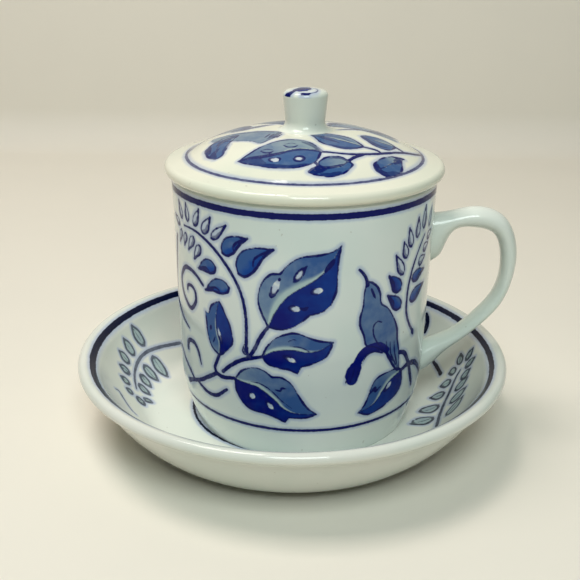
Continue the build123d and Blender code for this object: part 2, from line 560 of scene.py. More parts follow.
# Finishes
cup_white = (0.74, 0.80, 0.765, 1)
handle_white = (0.745, 0.79, 0.725, 1)
lid_white = (0.81, 0.805, 0.67, 1)
knob_white = (0.75, 0.79, 0.70, 1)
# The saucer's white is its glaze's own tone, made a little darker as painted shade for the shade inside the
# saucer
saucer_white_with_painted_shade = (0.735, 0.75, 0.685, 1)
coat = 0.6
biscuit = (0.62, 0.57, 0.47, 1)
speck_brown = (0.30, 0.27, 0.21, 1)
bleed_blue = (0.22, 0.31, 0.60, 1)
wash_thin = (0.45, 0.54, 0.57, 1)
wash_full = (0.038, 0.102, 0.31, 1)
deep_thin = (0.002, 0.058, 0.32, 1)
deep_full = (0.0003, 0.005, 0.16, 1)
line_blue = (0.0005, 0.004, 0.105, 1)
line_dark = (0.001, 0.004, 0.028, 1)
paper_pale = (0.84, 0.80, 0.71, 1)
paper_dark = (0.81, 0.775, 0.69, 1)

# Sizes in millimetres of what makes surfaces uneven, and distances over which the paint's edges soften
paper_cloud = 60.0
glaze_cloud = 30.0
glaze_ripple = 14.0
dull_spot = 9.0
speck = 1.4
paint_pool = 6.0
paint_grain = 2.4
edge_wave = 3.5
edge_wobble = 1.1
fill_edge = (-0.16, 0.14)
line_edge = (-0.15, 0.13)
bleed_edge = (0.1, 1.4)


def tinted(colour, shares):
    """Colour with a share of each of its channels."""
    return tuple(channel * share for channel, share in zip(colour, shares)) + (1,)


def porcelain(name, white, line_colour=None, footed=False):
    """Clear glaze on white porcelain, over cobalt paint where there is brushwork. A foot ring is bare."""
    finish = Finish(name)
    place = finish.add("ShaderNodeTexCoord", {}, {}, "Object")
    clouds = finish.soften(finish.noise(place, glaze_cloud), 0.38, 0.62)
    colour = finish.mix(clouds, white, tinted(white, (0.93, 0.965, 0.96)))
    specks = finish.soften(finish.noise(place, speck, 0.0), 0.12, 0.14)
    colour = finish.mix(specks * 0.3, colour, speck_brown)
    roughness = 0.1 + 0.08 * finish.noise(place, dull_spot)
    finish.fill(finish.shader, {"Coat Weight": coat})
    if line_colour:
        colour = painted_over(finish, place, colour, white, line_colour)
        paint = finish.soften(finish.field("paint_edge"), -0.2, 0.3)
        finish.fill(finish.shader, {"Coat Weight": coat * (1.0 - paint)})
    if footed:
        bare = finish.soften(finish.field("foot_edge"), -0.25, 0.15)
        colour = finish.mix(bare, colour, biscuit)
        roughness = roughness + 0.5 * bare
    ripple = finish.noise(place, glaze_ripple, 1.0)
    normal = finish.add("ShaderNodeBump", {}, {"Strength": 0.05, "Distance": 0.0006, "Height": ripple})
    finish.fill(finish.shader, {"Base Color": colour, "Roughness": roughness, "Normal": normal})
    finish.fill(finish.shader, {"IOR": 1.5, "Specular IOR Level": 0.13, "Coat Roughness": 0.06})
    return finish.material


def painted_over(finish, place, colour, white, line_colour):
    """Cobalt paint on a ground colour, with the soft uneven edge it gets under a glaze."""
    wobble = 0.36 * finish.noise(place, edge_wobble) - 0.18
    grain = finish.noise(place, paint_grain, 4.0) - 0.5
    pool = finish.noise(place, paint_pool) - 0.5
    line = finish.field("line_edge") + wobble + 0.3 * finish.noise(place, edge_wave) - 0.15
    deep = finish.field("deep_edge") + wobble
    wash = finish.field("wash_edge") + wobble
    colour = finish.mix(finish.soften(line, *bleed_edge) * 0.5, colour, bleed_blue)
    tint = [channel / max(white[:3]) for channel in white[:3]]
    wash_tone = finish.field("wash_tone") + 0.4 * pool + 0.3 * grain
    wash_colour = finish.mix(wash_tone, tinted(wash_thin, tint), tinted(wash_full, tint))
    colour = finish.mix(finish.soften(wash, *fill_edge), colour, wash_colour)
    deep_tone = finish.field("deep_tone") + pool + 0.4 * grain
    deep_colour = finish.mix(deep_tone, tinted(deep_thin, tint), deep_full)
    deep_share = finish.soften(deep, *fill_edge) * finish.soften(0.0 - deep_tone, 0.0, 0.55)
    colour = finish.mix(deep_share, colour, deep_colour)
    line_share = finish.field("line_tone") * (1.0 + 0.5 * grain)
    return finish.mix(finish.soften(line, *line_edge) * line_share, colour, line_colour)


def dress(piece, finish, node, body):
    """Puts a piece in place of a turned solid."""
    piece.data.materials.append(finish)
    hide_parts(node)
    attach(piece, body)


def make_cup():
    centre, rim_radius, height = box_of("cup_body")
    rim_height = height - cup_rim_rounding

    def wall(at):
        return rim_radius - (rim_height - at) * math.tan(cup_taper)

    heel = wall(cup_heel_height)
    foot = heel - cup_foot_inset
    foot_inner = foot - cup_foot_width
    floor_top = cup_foot_recess + cup_floor
    bend_top = floor_top + cup_bore_bend
    bore = rim_radius - cup_wall
    section = Section(0, floor_top)
    section.line(wall(floor_top) - cup_wall - cup_bore_bend, floor_top, coarse)
    section.arc(wall(bend_top) - cup_wall, bend_top, plain)
    section.line(bore, rim_height, coarse)
    section.arc(bore + cup_rim_rounding, height)
    section.line(rim_radius - cup_rim_rounding, height)
    section.arc(rim_radius, rim_height)
    rim_place = section.length
    section.line(heel, cup_heel_height, fine)
    section.arc(heel - cup_heel_inset, cup_turn_height, fine)
    section.arc(foot, 0, fine)
    foot_place = section.length
    section.line(foot_inner, 0)
    foot_end = section.length
    section.line(foot_inner - cup_foot_recess, cup_foot_recess)
    section.line(0, cup_foot_recess, coarse)
    cup = Lathed("cup_shell", section, centre, cup_columns)
    outside = (cup.place >= rim_place) & (cup.place <= foot_place)
    from_front = np.where(cup.angle > 0, cup.angle - 1.5 * math.pi, math.pi / 2) * rim_radius
    brush = Brushwork(from_front, cup.height, outside)
    for half_turn in (0, math.pi * rim_radius):
        brush.spots[:, 0] += half_turn
        leafy_spray(brush)
        left_frond(brush)
        bird_and_bud(brush)
        right_frond(brush)
    brush.ring(cup.height - band_height, band_width, band_tone)
    brush.ring(cup.height - foot_line_height, foot_line_width, foot_line_tone)
    brush.store(cup.mesh)
    cup.mark_foot(foot_place, foot_end)

    def chart(place, share, face_place, face_share):
        painted = (face_place > rim_place) & (face_place < foot_place)
        front = face_share > 0.5
        down = (place - rim_place) / (foot_place - rim_place)
        panel = panel_low + panel_height * down + panel_step * front
        across = np.where(painted, 2 * share - front, share)
        return across, np.where(painted, panel, inside_low + inside_height * place / cup.length)

    cup.unwrap(chart)
    dress(cup.piece, porcelain("cup_glaze", cup_white, line_blue, footed=True), "cup_body", "cup")


def leafy_spray(brush):
    """Three large leaves and a small one on a twig. Positions are round the cup from its
    front and above its foot."""
    brush.strokes(
        (((-47.6, 17.4), (-43.4, 19.4), (-38.4, 21.4), (-33.6, 24.3), (-29.4, 27)), 1.5, (1.3, 1)),
        (((-29.4, 27), (-26.8, 26.5), (-22, 27.4)), 1.4, (1, 0.8)),
        (((-29.4, 27), (-30.2, 28.6), (-29.6, 30.4), (-28, 33.8)), 1.3, (1, 0.8)),
        (((-26.8, 28.4), (-23.3, 31.6), (-19, 34.4), (-12.6, 36.6)), 1.4, (0.9, 0.8)),
        (((-17.6, 35), (-15.4, 38), (-13.2, 42.6), (-10.6, 46.6)), 1.3, (1, 0.9)),
        (((-39.6, 20.4), (-36, 19), (-32.8, 18.5), (-29.5, 19.3), (-25.4, 22.5)), 1.35, (0.9, 0.8)),
        (((-56, 28), (-51, 25), (-46, 22.8), (-42.4, 20.4)), 1.4, (0.6, 1)),
        (((-46, 29.8), (-45.7, 31.8), (-43.9, 33.3), (-40.8, 33.4), (-38.6, 31.3), (-37.2, 27.4)),
         1.6, (1.2, 0.5)),
    )
    # Top leaf
    brush.leaf(
        (-10.6, 46.6), (10.6, 72.2),
        ((-12.5, 50.5), (-13.7, 55), (-12.6, 60), (-10, 63), (-7, 63.6), (-7, 63.6), (-4.5, 66.6),
         (-1, 68.8), (5, 69.6), (8.5, 70.6)),
        ((-6.4, 46.2), (-3.4, 47), (-0.5, 49), (1.6, 51), (1.6, 51), (5.4, 52), (8, 54), (8, 54),
         (9.5, 58.5), (9.7, 63), (9.9, 68)),
        ((-7.9, 52.4), (-4.5, 56.8), (-0.5, 59.6), (4, 62.5), (7.4, 66.2)),
        glow=2.0,
    )
    brush.eye((-8.4, 59.2), 2.6, 1.0, 68)
    brush.eye((-1.4, 63.6), 2.2, 0.9, 55, outlined=True)
    brush.eye((3.9, 58.6), 1.7, 0.9, 12)
    brush.eye((-2.5, 53), 1.6, 0.9, -5)
    brush.strokes(
        (((-10.2, 57.4), (-9.7, 56.3), (-8.6, 56.6)), 0.8),
        (((-7.4, 61.4), (-7, 62.4)), 1.0),
        (((-0.4, 65), (0.8, 66.3)), 0.9),
        (((-0.9, 53.2), (0.2, 52.9), (1.2, 53.6)), 1.1),
        (((8.6, 68), (7.3, 66.2), (6, 64.5)), 1.5),
    )
    # Middle leaf
    brush.leaf(
        (-12.6, 36.6), (9.2, 42.1),
        ((-11, 40), (-8.2, 43.2), (-4, 45), (-1, 44.9), (2.6, 43.4), (6, 42.4)),
        ((-10.6, 34.4), (-7, 33.4), (-4.4, 33.2), (-1.6, 32), (-1.6, 32), (-1, 33), (-0.4, 34.3),
         (-0.4, 34.3), (2.8, 35.3), (6.2, 36.6), (8, 39)),
        ((-9.8, 38.4), (-6.3, 39.4), (-2.5, 39.6), (1.2, 39), (5.3, 39.6)),
        tones=(0.85, 0.9),
    )
    brush.eye((-3.8, 36.6), 1.8, 0.7, -25)
    brush.stroke(((-4.2, 41), (-0.7, 40.6), (2, 39.3)), 0.5)
    brush.stroke(((-4.6, 42.3), (-3, 43.1), (-2, 42.9)), 0.5)
    # Lower leaf
    brush.leaf(
        (-22, 27.4), (4.6, 17.9),
        ((-19.4, 30.7), (-15.4, 32.5), (-12.2, 32), (-9.5, 30.2), (-9.5, 30.2), (-6.3, 30.2), (-3.2, 28),
         (-0.8, 23.8), (1.5, 20.4)),
        ((-21.6, 23.4), (-19.6, 20), (-16.6, 18), (-12, 17.2), (-8.7, 16.4), (-5.5, 14.9), (-5.5, 14.9),
         (-4.8, 15.6), (-4, 16.6), (-4, 16.6), (0, 16.6), (2.8, 17.2)),
        ((-19, 26.8), (-14.7, 26.3), (-11.4, 24.5), (-8.6, 22.4), (-5.8, 19.7), (-2, 18.2)),
        tones=(0.82, 0.95),
    )
    brush.eye((-16.1, 22.7), 1.1, 1.0)
    brush.eye((-10.2, 20.4), 1.5, 0.8, -48)
    brush.stroke(((-17.2, 27.4), (-13.4, 27.4), (-9.8, 25.6), (-6.6, 22.6), (-3.1, 19.9)), 0.5)
    brush.stroke(((-8.6, 26), (-6.8, 25.8), (-6.4, 26.7), (-4.6, 26.6)), 0.7)
    # Small leaf
    brush.leaf(
        (-28, 33.6), (-27.4, 51.8),
        ((-31.2, 35.6), (-32.8, 39), (-33.3, 43), (-33.7, 46.8), (-33.7, 46.8), (-32.2, 46.6),
         (-30.7, 49.5)),
        ((-26.2, 34.9), (-23.8, 37.2), (-22.6, 39.8), (-22.9, 42.5), (-24, 45.8), (-25.6, 48.8)),
        ((-27.6, 37.6), (-28.5, 40.6), (-29, 43.8), (-28.7, 47.6)),
        tones=(0.95, 0.7), glow=0.5,
    )
    brush.eye((-27.6, 40.5), 2.2, 0.45, 106)
    brush.stroke(((-31.3, 42.6), (-31.5, 41.2)), 1.0)
    brush.stroke(((-30.6, 37.2), (-29.6, 39.4)), 0.6)


def left_frond(brush):
    brush.frond(
        ((-18, 37.4), (-17.7, 42), (-17.8, 49), (-19.3, 56), (-22.7, 62), (-28, 67.4), (-33.4, 70.4),
         (-38.5, 71.6), (-44.2, 71.4)),
        1.15,
        (((-20, 62), (-9, 70.8), 6.6, 0.10, 1.1), ((-25.6, 67.4), (-16.8, 73.2), 4.8, 0.08, 1.0),
         ((-23.4, 56.9), (-33.2, 53.8), 4.6, -0.09, 0.95), ((-28.4, 62.2), (-36.4, 59.9), 4.4, -0.07, 1.0)),
        (((-29.8, 71), (-24, 76), 2.4), ((-33.6, 71.9), (-29.9, 77.3), 2.9),
         ((-37.8, 73.2), (-35, 78.6), 2.5), ((-41.4, 73.5), (-42.4, 78.9), 2.3),
         ((-45.4, 73.4), (-47.8, 78.5), 2.2), ((-47.8, 70.9), (-53, 72.8), 2.0),
         ((-35.1, 67.3), (-38.4, 62.4), 2.6), ((-38.4, 69.3), (-41.8, 64.4), 2.5),
         ((-43.2, 69.2), (-44.6, 65), 2.2), ((-46.6, 69.4), (-48.3, 65.2), 2.0)),
    )
    brush.strokes(
        (((-18.5, 39.6), (-19.1, 37.6), (-18.3, 36.4), (-17.3, 37.2), (-17.2, 39)), 0.6),
        (((-34.4, 55), (-37.5, 57.1), (-41, 58.1), (-45.2, 57.6), (-48.8, 53.2), (-48, 49),
          (-44.7, 45.9), (-41.6, 45.1), (-38.8, 48.2), (-38.9, 51.4), (-41, 52.7), (-43.4, 52.3),
          (-44, 50.8)), 1.6, (0.7, 0.7)),
        (((-51.8, 66), (-54.8, 56), (-56.6, 48), (-54.6, 42.2), (-49.8, 39.4), (-44.2, 37.4)),
         2.4, (0.7, 0.3)),
    )


def bird_and_bud(brush):
    """Bird on a twig that ends in a bud, with a leaf below it."""
    brush.patch(
        ((19.4, 59.8), (22.2, 58.6), (24, 55.9), (24.8, 52.2), (27.6, 50), (30.6, 45.8), (32.3, 42),
         (32.8, 38.4), (34, 34), (34.6, 27.4), (32.2, 29), (29.3, 33), (27.4, 35.6), (23.4, 38.2),
         (20.1, 39.4), (19, 43), (17.6, 46.2), (17.5, 49), (18.3, 52.6), (18.4, 56)),
        tone=0.85, line_width=0.7,
    )
    brush.strokes(
        (((16.4, 64.2), (17.6, 63), (18.7, 61.4), (19.4, 59)), 1.0, (0.9, 1.5)),
        (((20.9, 57.4), (22.4, 54.4)), 1.0, (0.9, 0.4)),
        (((25.4, 46), (23.7, 46.5), (22.3, 45), (22.7, 42.1), (24.7, 38.8), (27, 36.9)), 0.6),
        (((27.8, 39.2), (28.5, 35.2), (31.2, 31.6)), 0.6),
        (((29.5, 38.6), (30.2, 34.2), (32.9, 29.6)), 0.6),
        (((31.3, 38.2), (32, 34), (33.8, 28.8)), 0.6),
        (((28.4, 36), (25.4, 37.8), (22.4, 38.2), (19.6, 37.4), (17.8, 35.2), (16.7, 32.6)),
         3.0, (0.7, 1), 1.0, "deep"),
        (((16.6, 32.4), (15.8, 30.6), (15.7, 28.8)), 5.0, (0.9, 0.8), 1.0, "deep"),
        (((26.6, 35.4), (23.6, 36.7), (20.6, 36.2), (18.8, 33.6)), 0.8),
    )
    for across in (14.2, 15.8, 17.4):
        brush.stroke(((across - 0.6, 28), (across, 30), (across + 0.6, 32.6)), 0.6)
    brush.leaf(
        (36.2, 26.6), (18.5, 16.5),
        ((33.4, 28), (28.6, 28), (24.8, 27.1), (22.8, 24.4), (22, 22), (20.6, 18.8)),
        ((36.8, 21.4), (34, 18.5), (30.4, 16.8), (27.6, 15.9), (23, 14.9)),
        ((30.8, 24.9), (27.6, 22.1), (24.2, 18.3)),
        tones=(0.9, 0.7), glow=1.1,
    )
    brush.eye((30, 23), 1.7, 0.7, 40)
    brush.strokes(
        (((22.4, 22.4), (24.4, 24), (24.6, 22.7), (26.6, 24)), 1.0),
        (((34.4, 33.4), (37.4, 32), (40.4, 27.6)), 1.7, (0.9, 1)),
        (((36.2, 26.6), (39.8, 27.2), (45, 26), (49, 23), (53, 18.4)), 1.9, (0.8, 0.8)),
        (((40.6, 27.4), (42.2, 23), (44.2, 18.4)), 1.8, (0.9, 0.8)),
    )


def right_frond(brush):
    brush.frond(
        ((41.6, 38), (38.5, 42), (36.6, 46.2), (36.3, 50.4), (36.7, 55.2), (38.5, 60.6), (41.6, 65.7),
         (45, 69.3)),
        1.1,
        (((33.2, 48.9), (27.1, 54.2), 3.8, 0, 1.3), ((32.6, 54.7), (27.2, 60.4), 4.0, 0, 1.7),
         ((38, 50), (47.4, 52.8), 4.2, 0, 1.2), ((38.4, 56.8), (46.6, 57.7), 3.6, 0, 1.25)),
        (((33.4, 59.6), (29.6, 66.3), 2.9), ((34.5, 64.6), (32.8, 69.8), 2.6),
         ((36.7, 67.6), (35, 73.6), 2.6), ((39.9, 69.7), (39.8, 75.8), 2.4),
         ((43.6, 71.6), (44.2, 78.6), 2.4), ((41.9, 60.9), (46.6, 62.1), 2.8),
         ((44.7, 64.4), (48.7, 65.7), 2.6), ((47.4, 67.6), (52, 68.9), 2.4),
         ((48.4, 71), (50.2, 76.9), 2.2)),
    )
    brush.stroke(((42, 37.2), (40.8, 39.2)), 1.7)


def make_lid():
    centre, radius, height = box_of("lid")
    centre.z += flange_depth * mm
    dome_height = height - flange_depth
    edge = lid_edge / 2
    land = knob_neck_radius + knob_fillet
    ring = radius - lid_brim_width
    brim_top = (radius - edge + edge * math.sin(lid_brim_slope), edge + edge * math.cos(lid_brim_slope))
    ring_height = brim_top[1] + (brim_top[0] - ring) * math.tan(lid_brim_slope)
    dome_radius = ((ring - land) ** 2 + (dome_height - ring_height) ** 2) / (2 * (dome_height - ring_height))

    def ceiling(at):
        inner = dome_radius - lid_wall
        return dome_height - dome_radius + math.sqrt(inner**2 - (at - land) ** 2)

    _, rim_radius, _ = box_of("cup_body")
    flange_outer = rim_radius - cup_wall - flange_clearance
    flange_inner = flange_outer - flange_wall
    section = Section(0, dome_height)
    section.line(land, dome_height)
    section.arc(ring, ring_height, fine)
    section.line(*brim_top, fine)
    section.arc(radius, edge)
    rim_place = section.length
    section.arc(radius - edge, 0)
    section.line(flange_outer, 0)
    section.line(flange_outer, flange_rounding - flange_depth)
    section.arc(flange_outer - flange_rounding, -flange_depth)
    section.line(flange_inner + flange_rounding, -flange_depth)
    section.arc(flange_inner, flange_rounding - flange_depth)
    section.line(flange_inner, ceiling(flange_inner))
    for at in np.linspace(flange_inner, land, ceiling_points)[1:]:
        section.line(at, ceiling(at))
    section.line(0, ceiling(land), coarse)
    lid = Lathed("lid_shell", section, centre, lid_columns)
    brush = Brushwork(*lid.plan(lid.radius), lid.place <= rim_place)
    for _ in range(2):
        lid_spray(brush)
        brush.spots *= -1
    far_blades(brush)
    brush.ring(lid.radius - ring, lid_ring_width, lid_ring_tone)
    brush.store(lid.mesh)
    lid.unwrap(disc_chart(rim_place, lid.length))
    dress(lid.piece, porcelain("lid_glaze", lid_white, line_blue), "lid", "lid")


def far_blades(brush):
    """Two slim blades behind the knob, along the lid's far edge. Positions are in plan, about the knob."""
    brush.strokes(
        (((-23, 2.6), (-19.6, 2.4), (-16.2, 3.8), (-12.8, 5.6), (-10.2, 6.4)), 2.6, (0.3, 0.3), 0.8),
        (((10.4, -0.8), (14.2, 1.1), (18.2, 2.9), (21, 3.7), (24, 4.4)), 1.3, (0.5, 0.8), 0.85),
    )


def lid_spray(brush):
    """Leaves on a twig along one side of the knob. Positions are in plan, about the knob."""
    brush.strokes(
        (((36.8, 0), (34.6, -4.4), (31.3, -8.4), (23.2, -16.6), (17.5, -20.4), (12, -22.4), (4.6, -22.8)),
         1.2, (0.8, 0.8)),
        (((22.6, -16.8), (21.2, -15.8), (17.6, -15.8)), 1.2, (0.6, 1)),
        (((17.4, -20.6), (14.4, -23.4), (12.4, -26)), 1.2, (0.8, 1)),
    )
    brush.leaf(
        (4.6, -22.7), (-19.6, -24.2),
        ((1.5, -17), (-2.8, -14.5), (-7.7, -15), (-12.5, -17.9), (-16.1, -21.1)),
        ((2.9, -28), (-0.7, -30.2), (-4.8, -30.9), (-11, -29.5), (-16, -26.9)),
        ((-0.7, -21.4), (-4.9, -22.1), (-8.1, -24), (-12.3, -24)),
        tones=(0.62, None), glow=0.3,
    )
    brush.eye((-1.9, -26.8), 1.3, 0.95, 0, outlined=True)
    brush.eye((-9, -26.7), 1.5, 0.9, -20)
    brush.strokes(
        (((-3.6, -26.8), (-2.8, -28), (-1.2, -28), (-0.2, -26.8), (-1, -25.6), (-2.6, -25.6),
          (-3.6, -26.8)), 0.7),
        (((-8.2, -25.6), (-7.3, -26.4), (-7.7, -27.6)), 0.8),
        (((-19.4, -24.1), (-16.4, -24), (-12.4, -24.3), (-8.6, -23.8), (-6.4, -22.9)),
         1.8, (0.5, 0.4), 0.9),
        (((-18, -25), (-14.6, -26), (-11.6, -27.6)), 2.8, (0.5, 0.3), 0.55),
        (((-15, -27), (-10.6, -29), (-5, -30.4), (0.4, -29.4)), 1.7, (0.6, 0.4), 0.7),
        (((4.5, -22.6), (2.4, -19.4), (-1, -16.4)), 1.6, (0.9, 0.4), 0.6),
        (((4.5, -22.7), (0, -21.9), (-4.6, -22.6), (-7.8, -24.2)), 1.1, (1, 0.5), 0.8),
        (((-13.1, -21), (-11.9, -22.3), (-10.4, -22.6), (-9.3, -21.9)), 0.7),
        (((-12.9, -20.8), (-11.3, -20.4), (-9.6, -21.2)), 0.5),
        (((-6.5, -18.6), (-5.2, -20), (-3.4, -20.1), (-2.2, -18.9)), 0.7),
        (((-6.2, -18.1), (-4.4, -17.4), (-2.6, -18.2)), 0.5),
    )
    brush.leaf(
        (12.5, -26), (0.8, -32.8),
        ((9.8, -24.5), (6.7, -25.2), (4, -27.9), (3.4, -30)),
        ((13.5, -27.8), (10.7, -31.8), (7, -33.6), (3.9, -33.7)),
        ((9.7, -29.3), (5.5, -30.4)),
        tones=(0.75, None), glow=0.15,
    )
    brush.strokes(
        (((1.2, -32.4), (3.3, -31.6), (5.6, -31)), 2.6, (0.5, 0.4), 0.85),
        (((2.9, -28.7), (3.7, -29.6), (5.3, -30.5), (7.8, -29.8), (11.1, -27.9)), 1.1, (1, 0.5), 0.9),
        (((4.6, -33.2), (7.4, -33), (10, -31.4)), 1.6, (0.5, 0.4), 0.7),
        (((12.4, -26.2), (9.8, -25.1), (6.8, -25.9)), 1.1, (1, 0.4), 0.7),
    )
    brush.leaf(
        (28.6, -15.4), (20.4, -27.2),
        ((25.4, -17), (21.8, -21.1), (20, -24.8)),
        ((28.6, -21), (26.9, -25), (23.4, -28)),
        ((26, -20), (23.4, -23.8)),
        tones=(0.8, None), glow=0.1,
    )
    brush.strokes(
        (((20.9, -24.2), (20.9, -26.4), (22.4, -27.2), (24.4, -26.8)), 2.2, (0.4, 0.6), 0.9),
        (((27, -24.2), (25, -26.2), (23.2, -27.2)), 1.8, (0.4, 0.5), 0.6),
        (((27.2, -16.2), (28.4, -15.6), (29.6, -14.8)), 1.4, (1, 0.6)),
        (((28.6, -15.6), (27.6, -17.4), (26.4, -20.4)), 1.8, (0.9, 0.3), 0.8),
    )
    brush.leaf(
        (17.5, -15.6), (1.3, -7),
        ((14.2, -10.7), (10.4, -8.4), (6.1, -6.4)),
        ((13.3, -19.1), (9, -19), (4.6, -16.2)),
        ((11.4, -13.6), (6.2, -10.6)),
        tones=(0.8, None), glow=0.6,
    )
    brush.strokes(
        (((1.6, -7.2), (3.6, -9.8), (6.6, -13), (10, -15.6)), 1.8, (0.8, 0.3), 0.65),
        (((7, -17.6), (11, -18.6), (15, -17.4)), 1.2, (0.4, 0.5), 0.6),
        (((6, -8.4), (10, -10.4), (13.6, -13.4)), 0.5, (0.6, 0.5), 0.7),
    )
    brush.leaf(
        (27.9, -7.4), (16.9, -6),
        ((24.5, -4.6), (20.1, -3.9)),
        ((25.6, -12.2), (22.1, -13.2), (18.8, -10.2)),
        ((22.4, -7.8),),
        tones=(0.8, None), glow=0.5,
    )
    brush.stroke(((17.4, -6.4), (19.6, -9.4), (22.4, -11.6), (25, -11)), 1.7, (0.8, 0.3), 0.65)
    brush.stroke(((27.6, -7.4), (29, -8.3), (30.6, -9.2)), 1.2, ends=(0.8, 1))
    brush.patch(
        ((-7.3, -5.2), (-10.9, -3.8), (-14.9, -2.8), (-18, -2.3), (-22.6, -1), (-25.8, -0.4),
         (-28.9, 0.2), (-28.6, -3.6), (-24.4, -7.4), (-20.7, -10.1), (-18.4, -11.5), (-15.8, -13.2),
         (-13.5, -15.6), (-11.2, -13.8), (-8.9, -11)),
        tone=0.7, line_width=0.4,
    )
    for across in (-8.6, -9.8, -11, -12.2):
        brush.stroke(((across, -13.4 - 0.2 * across), (across + 1.6, -9.6 - 0.2 * across)), 0.6)
    brush.stroke(((-7.8, -5.6), (-9.2, -9.6), (-11.6, -12.8)), 1.4, (0.9, 0.3), 0.6)
    brush.stroke(((-9.4, -4.9), (-13.4, -3.8), (-17.6, -3.2), (-22.6, -1.8)), 1.5, tone=0.4)
    brush.leaf(
        (-20.6, -4.2), (-26.6, -18.9),
        ((-24.6, -3), (-28.2, -5), (-30.2, -10.4), (-29.2, -15.2)),
        ((-22.1, -8.1), (-23.4, -11), (-24, -15.3), (-24.8, -18)),
        ((-24.8, -7), (-26.8, -12)),
        tones=(1.0, None), glow=0.2,
    )
    brush.strokes(
        (((-21.4, -4.8), (-24.4, -6.2), (-26.8, -9)), 2.6, (0.4, 0.4), 0.7),
        (((-29.4, -7.4), (-29.6, -10.6), (-29, -13.4)), 2.2, (0.4, 0.5), 0.85),
        (((-25.8, -3.6), (-28, -5.4)), 1.8, (0.5, 0.5), 0.6),
        (((-26.2, -12.4), (-27.6, -15), (-26.8, -18.4)), 1.8, (0.4, 0.6), 0.75),
        (((-23, -10.4), (-24, -13.6), (-24.6, -16.6)), 1.2, (0.4, 0.5), 0.6),
    )


def make_knob():
    centre, _, height = box_of("lid_knob")
    edge_height = height - knob_crown
    section = Section(0, height)
    section.arc(knob_top_radius - knob_edge_rounding, edge_height)
    section.arc(knob_top_radius, edge_height - knob_edge_rounding)
    rim_place = section.length
    section.line(knob_neck_radius, knob_fillet, knob_step)
    section.arc(knob_neck_radius + knob_fillet, 0)
    section.line(0, 0)
    knob = Lathed("knob_shell", section, centre, knob_columns)
    brush = Brushwork(*knob.plan(knob.radius), knob.place <= rim_place)
    brush.leaf(
        (-3.9, -3.1), (1.7, -1.7),
        ((-2.7, -0.8), (-1.1, 0.5), (0.3, 0.9), (1.1, 0.2)),
        ((-2.4, -4.1), (-0.8, -4.2), (0.5, -3.6)),
        ((-1.8, -2.1), (0, -1.6)),
        tones=(1.0, 0.9), glow=0.2, line_width=0.5,
    )
    brush.strokes(
        (((-3.2, -2.9), (-1.6, -1.7), (0, -1.4), (1.2, -1.6)), 2.8, (0.5, 0.4), 0.8),
        (((-6.2, -3.8), (-5.4, -4.3), (-4.3, -4.2), (-3.2, -3.2)), 1.7, (1, 0.6)),
        (((2.3, -0.3), (3.2, -0.8), (3.7, -2.6), (3, -4.7), (1.6, -5.8)), 0.45, (0.5, 1), 0.8),
        (((1.6, -5.8), (0.4, -6.2), (-1.1, -6.1)), 0.9, (0.5, 1)),
    )
    brush.store(knob.mesh)
    knob.unwrap(disc_chart(rim_place, knob.length))
    dress(knob.piece, porcelain("knob_glaze", knob_white, line_blue), "lid_knob", "lid")


def make_saucer():
    centre, radius, height = box_of("saucer")
    cup_centre, _, _ = box_of("cup_body")
    floor = (cup_centre.z - centre.z) / mm
    underside = floor - saucer_wall
    foot_inner = saucer_foot_radius - saucer_foot_width
    half = saucer_wall / 2
    middle = Section(0, floor - half)
    middle.line(saucer_floor_radius, floor - half, well_step)
    middle.arc(saucer_floor_radius + saucer_heel_reach, floor - half + saucer_heel_rise, fine)
    middle.arc(radius - saucer_lip_reach, height - half - saucer_lip_rise, fine)
    middle.arc(radius - half, height - half, tiny)
    line = np.array(middle.points)
    run = np.gradient(line, axis=0)
    run /= np.hypot(*run.T)[:, None]
    side = np.stack((-run[:, 1], run[:, 0]), -1) * half
    below = [point for point in (line - side)[::-1] if point[0] > saucer_foot_radius]
    section = Section(0, floor)
    section.points = list(line + side)
    section.heading = run[-1]
    inner_place = section.length
    section.arc(*(line[-1] + run[-1] * half))
    section.arc(*below[0])
    rim_place = section.length
    section.points += below[1:]
    section.line(saucer_foot_radius, underside)
    section.line(saucer_foot_radius, saucer_foot_rounding)
    section.arc(saucer_foot_radius - saucer_foot_rounding, 0)
    foot_place = section.length
    section.line(foot_inner + saucer_foot_rounding, 0)
    foot_end = section.length
    section.arc(foot_inner, saucer_foot_rounding)
    section.line(foot_inner, underside)
    section.line(0, underside, coarse)
    saucer = Lathed("saucer_shell", section, centre, saucer_columns)
    brush = Brushwork(*saucer.plan(saucer.place), saucer.place <= inner_place)
    for _ in range(2):
        saucer_fronds(brush)
        brush.spots = brush.spots[:, ::-1] * (1, -1)
    width = saucer_band_width - saucer_band_swell * np.cos(saucer.angle)
    brush.ring(saucer.radius - radius + saucer_band_inset, width, band_tone)
    brush.ring(saucer.radius - well_ring_radius, well_ring_width, well_ring_tone)
    brush.store(saucer.mesh)
    saucer.mark_foot(foot_place, foot_end)
    saucer.unwrap(disc_chart(rim_place, saucer.length))
    # The saucer's white carries painted shade: it is darker than its glaze's own tone
    dress(saucer.piece, porcelain("saucer_glaze", saucer_white_with_painted_shade, line_dark, footed=True), "saucer", "saucer")


